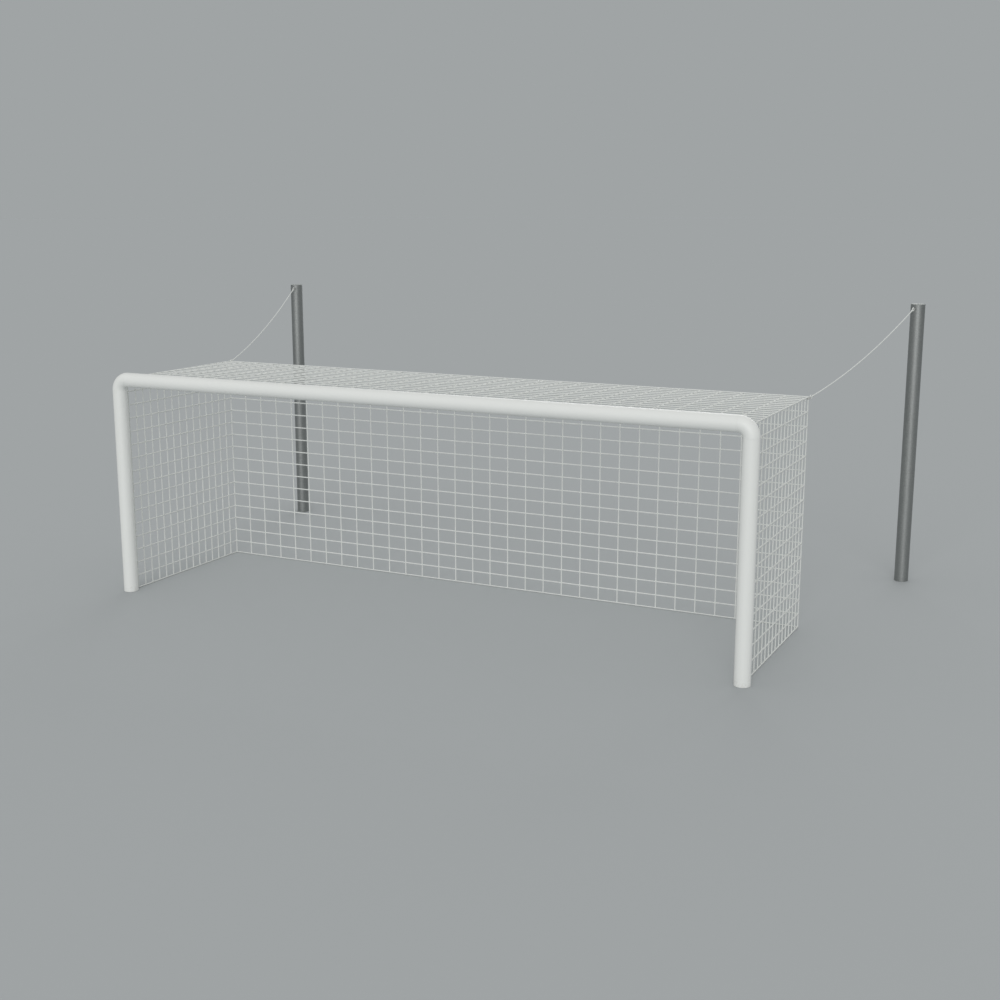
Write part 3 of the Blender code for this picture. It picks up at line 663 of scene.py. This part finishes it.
def clip_shell():
    """A net clip: a saddle on the tube, a neck and an open ring. Local X runs from the tube's axis out.

    The saddle, the ring and its lips are arcs c + r (cos q, sin q), and straight lines join them.
    """
    seat = TUBE_RADIUS + GAP
    half_base = math.asin(CLIP_BASE_WIDTH / 2 / seat)
    back = seat + CLIP_BASE_THICKNESS
    outer = CLIP_BORE_RADIUS + CLIP_RING_WALL
    neck = math.asin(CLIP_NECK_WIDTH / 2 / outer)
    mouth = CLIP_MOUTH_ANGLE
    ring, lip_radius = (CLIP_SETBACK, 0), CLIP_RING_WALL / 2
    lip = arc(ring, CLIP_BORE_RADIUS + lip_radius, mouth, mouth, 1)
    half_saddle = [(back, CLIP_BASE_WIDTH / 2 - CLIP_BASE_THICKNESS / 2), (back, CLIP_NECK_WIDTH / 2)]
    upper_half = np.concatenate(
        [
            arc((0, 0), seat, 0, half_base, 9)[1:],
            half_saddle,
            arc(ring, outer, math.pi - neck, mouth, 17)[:-1],
            arc(lip, lip_radius, mouth, mouth - math.pi, 7),
            arc(ring, CLIP_BORE_RADIUS, mouth, math.pi, 21)[1:-1],
        ]
    )
    lower_half = upper_half[::-1] * (1, -1)
    first, last = [(seat, 0)], [(CLIP_SETBACK - CLIP_BORE_RADIUS, 0)]
    outline = np.concatenate([first, upper_half, last, lower_half])
    return slab(outline, -CLIP_WIDTH / 2, CLIP_WIDTH / 2, CLIP_EDGE)


def twine_family(starts, direction, crossings, sizes):
    """Parallel twines of one length, swollen where others cross: r (1 + swell (1 - (d / reach)^2)).

    starts are their first ends, direction is shared, crossings are distances along them, and d is the
    distance from the nearest crossing. Each end closes in a dome, R cos q at a distance of R sin q, that
    stays inside the rope it meets.
    """
    reach = sizes.junction_length
    offsets = reach * np.array([-1.0, -0.5, 0.0, 0.5, 1.0])
    along = np.unique(np.clip((crossings[:, None] + offsets).ravel(), crossings[0], crossings[-1]))
    away = np.abs(along[:, None] - crossings).min(axis=1)
    swelling = 1 + sizes.junction_swell * np.maximum(0, 1 - (away / reach) ** 2)
    end_radius = sizes.twine_diameter / 2 * TWINE_END_SHARE
    dome_radii, dome_reach = end_radius * np.cos(TWINE_DOME), end_radius * np.sin(TWINE_DOME)
    along = np.concatenate([along[0] - dome_reach[::-1], along, along[-1] + dome_reach])
    radii = np.concatenate([dome_radii[::-1], sizes.twine_diameter / 2 * swelling, dome_radii])
    normal = Y if direction[1] == 0 else Z
    centres = starts[:, None] + along[:, None] * direction
    grid = carried(centres, direction, radii[:, None], normal, sides=8)
    return skin(grid, along, lobes=STRANDS, lay=sizes.twine_lay / STRANDS)


def net_shells(sizes):
    """The net's four flat panels as families of straight twines.

    The roof carries its own edge ropes, a side its front, rear and ground ropes, and the back the rest.
    """
    radius = sizes.twine_diameter / 2
    across = np.linspace(-UPRIGHT_X, UPRIGHT_X, sizes.net_columns + 1)
    deep = np.linspace(NET_FRONT_Y, NET_BACK_Y, sizes.net_cells_deep + 1)
    up = np.linspace(0, CROSSBAR_Z, sizes.net_rows + 1)
    up[0] = radius * (1 + sizes.junction_swell)

    def points(x, y, z):
        return np.stack(np.broadcast_arrays(x, y, z), axis=1)

    roof = [
        twine_family(points(-UPRIGHT_X, deep, CROSSBAR_Z), X, across + UPRIGHT_X, sizes),
        twine_family(points(across, NET_FRONT_Y, CROSSBAR_Z), Y, deep - NET_FRONT_Y, sizes),
    ]
    back = [
        twine_family(points(-UPRIGHT_X, NET_BACK_Y, up[:-1]), X, across + UPRIGHT_X, sizes),
        twine_family(points(across[1:-1], NET_BACK_Y, up[0]), Z, up - up[0], sizes),
    ]
    right_side = [
        twine_family(points(UPRIGHT_X, NET_FRONT_Y, up[:-1]), Y, deep - NET_FRONT_Y, sizes),
        twine_family(points(UPRIGHT_X, deep, up[0]), Z, up - up[0], sizes),
        hook_serving(radius),
        *(corner_knot(np.array([UPRIGHT_X, y, z]), sizes) for y in deep[[0, -1]] for z in up[[0, -1]]),
    ]
    return {
        "net_roof": roof,
        "net_back": back,
        "net_right_side": right_side,
        "net_left_side": [mirrored(shell) for shell in right_side],
    }


def corner_knot(corner, sizes):
    """A ball of wound twine over the ends of the ropes at a corner: r = R cos q, h = R sin q.

    It stays clear of the ground, and flat faces close it just short of its poles.
    """
    radius = sizes.twine_diameter / 2 * KNOT_SWELL
    profile = arc((0, 0), radius, -KNOT_END, KNOT_END, 13)
    centre = np.maximum(corner, (-math.inf, -math.inf, radius))
    return turned(profile, centre, Z, sides=32, lobes=KNOT_STRANDS, lay=KNOT_LAY)


def hook_serving(radius):
    """Thin twine wound round the rear corner rope where the snap hook bears."""
    foot = np.array([UPRIGHT_X, NET_BACK_Y, CROSSBAR_Z - radius - SERVING_TURNS * THREAD])
    return winding(foot, Z, SERVING_RADIUS - THREAD / 2, SERVING_TURNS)


def winding(foot, axis, core, turns):
    """Turns of thread side by side round a core: r = core + w / 2 |sin(pi h / w)|, closed inside the core."""
    h = np.linspace(0, THREAD * turns, turns * THREAD_STEPS + 1)
    wound = core + THREAD / 2 * np.abs(np.sin(math.pi * h / THREAD))
    inside = 0.9 * core
    profile = np.concatenate([[(inside, 0)], np.stack([wound, h], axis=1), [(inside, h[-1])]])
    return turned(profile, foot, axis, WIRE_SIDES)


def rope(centres, tangents, normal, diameter, lay, lobes=STRANDS, taper=1.0, sides=WIRE_SIDES, ring=False):
    """A laid rope: r = R (1 - groove (1 - |cos(n (a + 2 pi s / lay) / 2)|)), with n lobes.

    s is the distance along. A ring's lay is fitted to a whole number of strands.
    """
    along = distances(centres, ring)
    if ring:
        lay = along[-1] * lobes / round(along[-1] * lobes / lay)
    s = along[: len(centres), None]
    phase = lobes * full_turn(sides) / 2 + math.pi * s * lobes / lay
    radii = diameter / 2 * taper * (1 - STRAND_GROOVE * (1 - np.abs(np.cos(phase))))
    grid = carried(centres, tangents, radii, normal, sides)
    return skin(grid, along, lobes=lobes, lay=lay / lobes, ring=ring)


def cord_directions():
    """Unit directions of the right cord as it leaves the hook and the pole, and the normal of its plane."""
    from_hook = unit(CORD_LOW_POINT - CORD_AT_HOOK)
    return from_hook, unit(CORD_LOW_POINT - CORD_AT_POLE), unit(np.cross(Z, from_hook))


def cord_line(count):
    """The right cord's sag, a bow from the pole to the hook, and its tangents."""
    t = np.linspace(0, 1, count)[:, None]
    line = bow(CORD_AT_POLE, CORD_LOW_POINT, CORD_AT_HOOK, t)
    slope = (1 - t) * (CORD_LOW_POINT - CORD_AT_POLE) + t * (CORD_AT_HOOK - CORD_LOW_POINT)
    return line, unit(slope)


def spliced_loop(cord_end, direction, normal, sizes):
    """A rope ring, c + R (cos q d + sin q n x d), and the tapered splice and its whipping that close it.

    The direction d leads from the ring's centre to the end of the cord, which the splice nearly touches.
    """
    centre = cord_end - (LOOP_RADIUS + SPLICE_LENGTH + GAP) * direction
    q = full_turn(RING_STATIONS)[:, None]
    line, tangents = circle(centre, LOOP_RADIUS, direction, np.cross(normal, direction), q)
    ring = rope(line, tangents, normal, sizes.cord_diameter, sizes.cord_lay, ring=True)
    radius = sizes.cord_diameter / 2
    # The splice starts inside the ring's rope, swells and tapers to the cord. Its tucks double the strands
    start, end = LOOP_RADIUS - radius / 3, LOOP_RADIUS + SPLICE_LENGTH
    h = np.linspace(start, end, SPLICE_STATIONS)
    stations = [start, LOOP_RADIUS + radius, LOOP_RADIUS + SPLICE_LENGTH / 2, end]
    thickness = np.interp(h, stations, [radius, SPLICE_RADIUS, SPLICE_RADIUS, radius]) / SPLICE_RADIUS
    tucks = 1 + TUCK_RELIEF * np.cos(2 * math.pi * (h - start) / TUCK_LENGTH)
    core, taper = centre + h[:, None] * direction, (thickness * tucks)[:, None]
    neck = rope(core, direction, normal, 2 * SPLICE_RADIUS, sizes.cord_lay, 2 * STRANDS, taper, sides=36)
    foot = centre + (end - WHIPPING_TURNS * THREAD) * direction
    return [ring, neck, winding(foot, direction, radius, WHIPPING_TURNS)]


def hook_frame():
    """The right snap hook's centre and axes: X towards the cord, Z the gate hinge's direction."""
    from_hook, _, across = cord_directions()
    slack = LOOP_RADIUS - CORD_DIAMETER / 2 - GAP - HOOK_WIRE_RADIUS
    reach = HOOK_HALF_STRAIGHT + HOOK_HALF_WIDTH + slack + LOOP_RADIUS + SPLICE_LENGTH + GAP
    return CORD_AT_HOOK - reach * from_hook, np.array([from_hook, across, np.cross(from_hook, across)])


def hook_shells():
    """The right hook's bent wire and the tab that carries the gate's pin, in its own frame.

    The wire runs round two half circles, (-s, 0) and (s, 0) + R (cos q, sin q), and stops at the gate's nose.
    """
    half, width = HOOK_HALF_STRAIGHT, HOOK_HALF_WIDTH
    q = np.linspace(-math.pi / 2, -3 * math.pi / 2, HOOK_BEND_STATIONS)[:, None]
    first, first_tangents = circle(-half * X, width, X, Y, q)
    spine = np.linspace(-half, half, HOOK_SPINE_STATIONS)[1:-1, None] * X + width * Y
    second, second_tangents = circle(half * X, width, -X, -Y, q)
    nose = np.array([[GATE_NOSE_X + WIRE_CHAMFER, -width, 0], [GATE_NOSE_X, -width, 0]])
    line = np.concatenate([first, spine, second, nose])
    # The angle falls along the wire, so the half circles' tangents are turned round
    tangents = np.concatenate([-first_tangents, np.tile(X, (len(spine), 1)), -second_tangents, [-X, -X]])
    radii = np.full((len(line), 1), HOOK_WIRE_RADIUS)
    radii[-1] -= WIRE_CHAMFER
    wire = skin(carried(line, tangents, radii, Z, WIRE_SIDES), distances(line))
    left, right = -half - HOOK_WIRE_RADIUS, GATE_PIN_X + TAB_HALF_HEIGHT
    low, high = -width - TAB_HALF_HEIGHT, -width + TAB_HALF_HEIGHT
    corners = [(left, low), (right, low), (right, high), (left, high)]
    rounding = 0.9 * TAB_HALF_HEIGHT
    outline = softened(corners, rounding, closed=True, steps=8)
    return [wire, slab(outline, -TAB_HALF_THICKNESS, TAB_HALF_THICKNESS, TAB_EDGE)]


def gate_shells():
    """The right gate in the hook's frame: a round rod with chamfered ends and two cheeks beside the tab.

    The rod is turned round X. A cheek is a slab of a half circle and a square end.
    """
    pin = GATE_PIN_X * X - HOOK_HALF_WIDTH * Y
    root, tip = FORK_LENGTH + WIRE_CHAMFER, GATE_NOSE_X - GATE_NOSE_GAP - GATE_PIN_X
    full, chamfered = HOOK_WIRE_RADIUS, HOOK_WIRE_RADIUS - WIRE_CHAMFER
    profile = [(chamfered, FORK_LENGTH), (full, root), (full, tip - WIRE_CHAMFER), (chamfered, tip)]
    rod = turned(np.array(profile), pin, X, WIRE_SIDES)
    round_end = arc((0, 0), TAB_HALF_HEIGHT, math.pi / 2, 3 * math.pi / 2, 13)
    square_end = [(root, -TAB_HALF_HEIGHT), (root, TAB_HALF_HEIGHT)]
    outline = np.concatenate([round_end, square_end]) + pin[:2]
    lows = (CHEEK_HALF_GAP, -CHEEK_HALF_GAP - CHEEK_THICKNESS)
    return [rod, *(slab(outline, low, low + CHEEK_THICKNESS, CHEEK_EDGE) for low in lows)]


def eye_bolt_shells():
    """The right eye bolt: a forged ring lying flat, a collar against the pole and a shank through its wall.

    It points at the net's corner. The ring is c + R (cos q d + sin q Z x d), d being its direction.
    """
    axis_point = np.array([*POLE_FOOT[:2], EYE_HEIGHT])
    out = unit(np.array([UPRIGHT_X, NET_BACK_Y, EYE_HEIGHT]) - axis_point)
    seat = POLE_RADIUS + GAP
    shank_end = seat - EYE_SHANK_INSIDE - TUBE_WALL
    neck_end = seat + EYE_COLLAR_LENGTH + EYE_WIRE_RADIUS / 2
    # A small flat face of the hub's radius closes each end
    hub, wire, collar = EYE_WIRE_RADIUS / 4, EYE_WIRE_RADIUS, EYE_COLLAR_RADIUS
    corners = [(hub, shank_end), (wire, shank_end), (wire, seat), (collar, seat)]
    corners += [(collar, seat + EYE_COLLAR_RIM), (EYE_NECK_RADIUS, neck_end), (hub, neck_end)]
    shank = turned(softened(corners, EYE_EDGE), axis_point, out, sides=32)
    centre = axis_point + (seat + EYE_COLLAR_LENGTH + EYE_RING_RADIUS) * out
    q = full_turn(RING_STATIONS)[:, None]
    line, tangents = circle(centre, EYE_RING_RADIUS, out, np.cross(Z, out), q)
    grid = carried(line, tangents, wire, Z, WIRE_SIDES)
    return [shank, skin(grid, distances(line, ring=True), ring=True)]


class GOAL_OT_camera(bpy.types.Operator):
    """Puts the camera in front and to the right of the goal, looking slightly down"""

    bl_idname = "goal.camera"
    bl_label = "Camera"

    def execute(self, context):
        studio = context.scene.goal_studio
        data = bpy.data.cameras.new("camera")
        data.lens = studio.camera_lens
        data.sensor_width = SENSOR_WIDTH
        camera = bpy.data.objects.new("camera", data)
        camera.location = studio.camera_place
        camera.rotation_euler = (math.pi / 2 - studio.camera_pitch, 0, studio.camera_heading)
        context.scene.collection.objects.link(camera)
        context.scene.camera = camera
        return {"FINISHED"}


class GOAL_OT_tension_cords(bpy.types.Operator):
    """Makes both sagging cords with their spliced loops"""

    bl_idname = "goal.tension_cords"
    bl_label = "Tension cords"

    def execute(self, context):
        sizes, colours = context.scene.goal_sizes, context.scene.goal_colours
        material = twisted_polyester("three-strand polyester rope", colours, sizes.cord_lay)
        from_hook, from_pole, across = cord_directions()
        line, tangents = cord_line(CORD_STATIONS)
        free_stretch = rope(line, tangents, across, sizes.cord_diameter, sizes.cord_lay)
        hook_loop = spliced_loop(CORD_AT_HOOK, from_hook, across, sizes)
        pole_loop = spliced_loop(CORD_AT_POLE, from_pole, across, sizes)
        pole_loops = dress_pair("pole_cord_loop", "rope", pole_loop, material)
        hook_loops = dress_pair("hook_cord_loop", "rope", hook_loop, material)
        cords = dress_pair("tension_cord", "rope", [free_stretch], material)
        return {"FINISHED"}


class GOAL_OT_frame_tubes(bpy.types.Operator):
    """Makes the uprights, the crossbar, the corners and the foot caps"""

    bl_idname = "goal.frame_tubes"
    bl_label = "Frame tubes"

    def execute(self, context):
        sizes, colours = context.scene.goal_sizes, context.scene.goal_colours
        paint = powder_coated_steel(colours)
        cap_plastic = moulded_plastic("moulded foot cap", colours.cap, ior=1.49, grain=0.002)
        bar_end = np.array([CROSSBAR_END, UPRIGHT_Y, CROSSBAR_Z])
        crossbar = open_tube(bar_end * (-1, 1, 1), bar_end, TUBE_RADIUS, sizes.tube_edge)
        dress("crossbar", "painted", [crossbar], paint)
        upright = open_tube(UPRIGHT_FOOT, UPRIGHT_TOP, TUBE_RADIUS, sizes.tube_edge)
        cap = tube_cap(UPRIGHT_FOOT * (1, 1, 0), Z, sizes.cap_edge)
        dress_pair("upright", "painted", [upright], paint)
        dress_pair("corner_elbow", "painted", [corner_casting(sizes.tube_edge)], paint)
        dress_pair("foot_cap", "moulded", [cap], cap_plastic)
        return {"FINISHED"}


class GOAL_OT_hardware(bpy.types.Operator):
    """Makes the clamping bolts, eye bolts, snap hooks and gates, and gives the nuts and pins their steel"""

    bl_idname = "goal.hardware"
    bl_label = "Steel hardware"

    def execute(self, context):
        steel = stainless_steel(context.scene.goal_colours)
        dress_pair("eye_bolt", "polished", eye_bolt_shells(), steel)
        centre, axes = hook_frame()
        for name, shells in (("snap_hook", hook_shells()), ("hook_gate", gate_shells())):
            dress_pair(name, "polished", [placed(shell, centre, axes) for shell in shells], steel)
        for name in sorted(frame["nodes"]):
            if name.endswith(("upright_bolt", "crossbar_bolt")):
                x, _, z = middle_of(name)
                seat = np.array([x, UPRIGHT_Y + TUBE_RADIUS + GAP, z])
                dress(name, "polished", [button_bolt(seat)], steel)
            elif name.endswith(("eye_nut", "gate_pin")):
                frame["nodes"][name].data.materials[0] = steel
        return {"FINISHED"}


class GOAL_OT_net(bpy.types.Operator):
    """Makes the net's roof, back and sides"""

    bl_idname = "goal.net"
    bl_label = "Net"

    def execute(self, context):
        sizes, colours = context.scene.goal_sizes, context.scene.goal_colours
        material = twisted_polyester("twisted net twine", colours, sizes.twine_lay)
        for name, shells in net_shells(sizes).items():
            dress(name, "twine", shells, material, TWINE_SHARP_ANGLE)
        return {"FINISHED"}


class GOAL_OT_net_clips(bpy.types.Operator):
    """Makes the clips that hold the net's front rope on the uprights and the crossbar"""

    bl_idname = "goal.net_clips"
    bl_label = "Net clips"

    def execute(self, context):
        nylon = moulded_plastic("moulded nylon", context.scene.goal_colours.nylon, ior=1.53, grain=0.0015)
        clip = clip_shell()
        for name in sorted(frame["nodes"]):
            x, _, z = middle_of(name)
            if "upright_clip" in name:
                seated = placed(clip, (x, UPRIGHT_Y, z), (Y, -X, Z))
            elif "crossbar_clip" in name:
                seated = placed(clip, (x, UPRIGHT_Y, CROSSBAR_Z), (Y, Z, X))
            else:
                continue
            dress(name, "moulded", [seated], nylon)
        return {"FINISHED"}


class GOAL_OT_rear_poles(bpy.types.Operator):
    """Makes the rear poles and their caps"""

    bl_idname = "goal.rear_poles"
    bl_label = "Rear poles"

    def execute(self, context):
        sizes, colours = context.scene.goal_sizes, context.scene.goal_colours
        zinc = galvanised_steel(colours)
        cap_plastic = moulded_plastic("moulded pole cap", colours.pole_cap, ior=1.49, grain=0.002)
        pole = open_tube(POLE_FOOT, POLE_TOP, POLE_RADIUS, sizes.tube_edge)
        foot_cap = tube_cap(POLE_FOOT * (1, 1, 0), Z, sizes.cap_edge)
        top_cap = tube_cap(POLE_TOP + Z * (CAP_FLANGE + GAP), -Z, sizes.cap_edge)
        dress_pair("rear_pole", "galvanised", [pole], zinc)
        dress_pair("pole_foot_cap", "moulded", [foot_cap], cap_plastic)
        dress_pair("pole_top_cap", "moulded", [top_cap], cap_plastic)
        return {"FINISHED"}


class GOAL_OT_stage(bpy.types.Operator):
    """Makes the pale floor, both lamps and the light from all round"""

    bl_idname = "goal.stage"
    bl_label = "Stage"

    def execute(self, context):
        studio = context.scene.goal_studio
        lamps = (
            ("key lamp", studio.key_heading, studio.key_height, studio.key_strength),
            ("back lamp", studio.back_heading, studio.back_height, studio.back_strength),
        )
        # The floor's colour times the light that falls on it is the backdrop's colour
        light = studio.sky_strength
        for name, heading, height, strength in lamps:
            self.make_lamp(context, name, heading, height, strength)
            light += strength * math.sin(height) / math.pi
        self.make_floor(np.array(studio.backdrop) / light)
        self.make_world(context, studio)
        context.scene.view_settings.view_transform = "Standard"
        return {"FINISHED"}

    def make_floor(self, colour):
        """A flat disc: P = r (cos a, sin a), in rings of quads round a middle face."""
        material, add = new_material("matt pale floor")
        look = {"Base Color": colour, "Roughness": 1.0, "Specular IOR Level": 0.0}
        add("OutputMaterial", {"Surface": add("BsdfPrincipled", look)["BSDF"]})
        rings = [(FLOOR_RADIUS, -FLOOR_THICKNESS), *((FLOOR_RADIUS / share, 0.0) for share in (1, 10, 100))]
        shell = turned(np.array(rings), Z * -FLOOR_DROP, Z, sides=64)
        make_mesh("floor", [shell], material, SHARP_ANGLE)

    def make_lamp(self, context, name, heading, height, strength):
        """A wide even lamp, far off."""
        lamp = bpy.data.lights.new(name, "SUN")
        lamp.energy = strength
        lamp.angle = context.scene.goal_studio.softness
        lamp_object = bpy.data.objects.new(name, lamp)
        lamp_object.rotation_euler = (math.pi / 2 - height, 0, heading)
        context.scene.collection.objects.link(lamp_object)

    def make_world(self, context, studio):
        """Even light from all round. The camera, gloss and glass see the backdrop's colour instead."""
        world = bpy.data.worlds.new("studio")
        context.scene.world = world
        world.use_nodes = True
        world.node_tree.nodes.clear()
        add = partial(node, world.node_tree)
        light = add("Background", {"Strength": studio.sky_strength, "Color": (1.0, 1.0, 1.0)})["Background"]
        backdrop = add("Background", {"Strength": 1.0, "Color": studio.backdrop})["Background"]
        rays = add("LightPath", {})
        seen = rays["Is Camera Ray"]
        for kind in ("Is Glossy Ray", "Is Transmission Ray"):
            seen = add("Math", {"Value": seen, "Value_001": rays[kind]}, operation="MAXIMUM")["Value"]
        sky = add("MixShader", {"Fac": seen, "Shader": light, "Shader_001": backdrop})["Shader"]
        add("OutputWorld", {"Surface": sky})


OPERATORS = (
    GOAL_OT_camera,
    GOAL_OT_tension_cords,
    GOAL_OT_frame_tubes,
    GOAL_OT_hardware,
    GOAL_OT_net,
    GOAL_OT_net_clips,
    GOAL_OT_rear_poles,
    GOAL_OT_stage,
)


class GOAL_PT_looks(bpy.types.Panel):
    """Lists the goal's pieces, sizes and colours"""

    bl_idname = "GOAL_PT_looks"
    bl_label = "Soccer goal"
    bl_space_type = "VIEW_3D"
    bl_region_type = "UI"
    bl_category = "Goal"

    def draw(self, context):
        for operator in OPERATORS:
            self.layout.operator(operator.bl_idname)
        for group_name in GROUPS:
            group = getattr(context.scene, group_name)
            box = self.layout.box()
            for name in group.__annotations__:
                box.prop(group, name)


GROUPS = {"goal_sizes": GoalSizes, "goal_colours": GoalColours, "goal_studio": GoalStudio}
CLASSES = (*GROUPS.values(), *OPERATORS, GOAL_PT_looks)


def register():
    for cls in CLASSES:
        bpy.utils.register_class(cls)
    for group_name, group in GROUPS.items():
        setattr(bpy.types.Scene, group_name, PointerProperty(type=group))


def unregister():
    for group_name in GROUPS:
        delattr(bpy.types.Scene, group_name)
    for cls in reversed(CLASSES):
        bpy.utils.unregister_class(cls)


def main():
    register()
    for operator in OPERATORS:
        category, name = operator.bl_idname.split(".")
        getattr(getattr(bpy.ops, category), name)()


if __name__ == "__main__":
    main()
